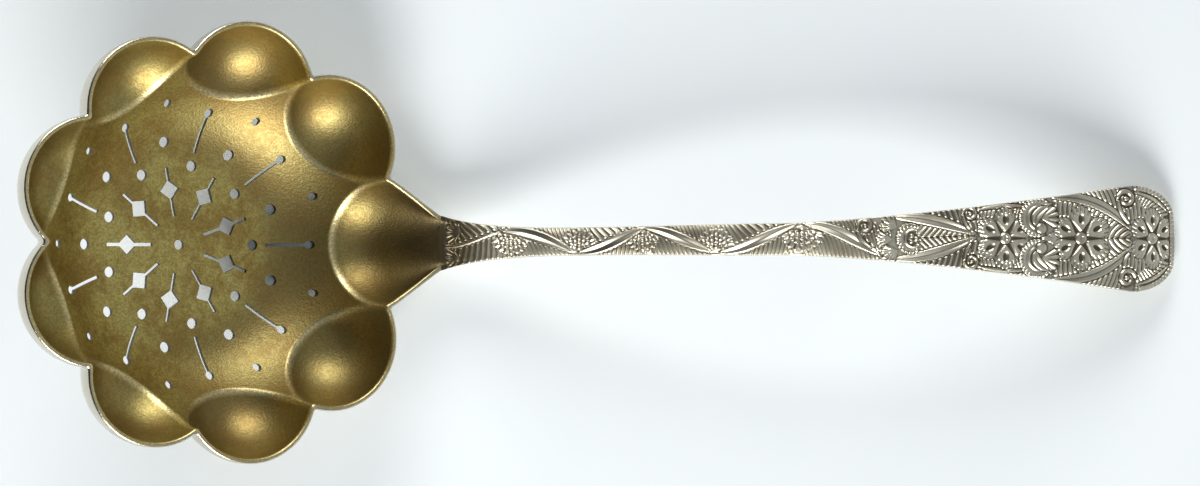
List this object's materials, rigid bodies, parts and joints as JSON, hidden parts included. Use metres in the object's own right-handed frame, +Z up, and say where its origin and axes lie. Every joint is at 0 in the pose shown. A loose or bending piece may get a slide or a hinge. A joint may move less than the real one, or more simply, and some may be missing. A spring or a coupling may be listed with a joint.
{
  "type": "sugar sifter spoon",
  "caption": "Lobed round serving spoon with a pierced, gilt bowl for sifting sugar and a broad-ended ornamented silver handle, lying on a table.",
  "frame": {"origin": "on the table, under the middle of the spoon's box as it lies", "axes": "+X from the bowl towards the end of the handle, +Z up from the table, the spoon mirror-symmetric in Y"},
  "size_m": [0.1782, 0.068, 0.0397],
  "materials": {
    "gilt_silver": "satin",
    "hard_solder": "satin",
    "struck_silver": "satin"
  },
  "bodies": {
    "root": {"sifter_bowl": "gilt_silver", "solder_seam": "hard_solder", "handle": "struck_silver"}
  },
  "joints": []
}
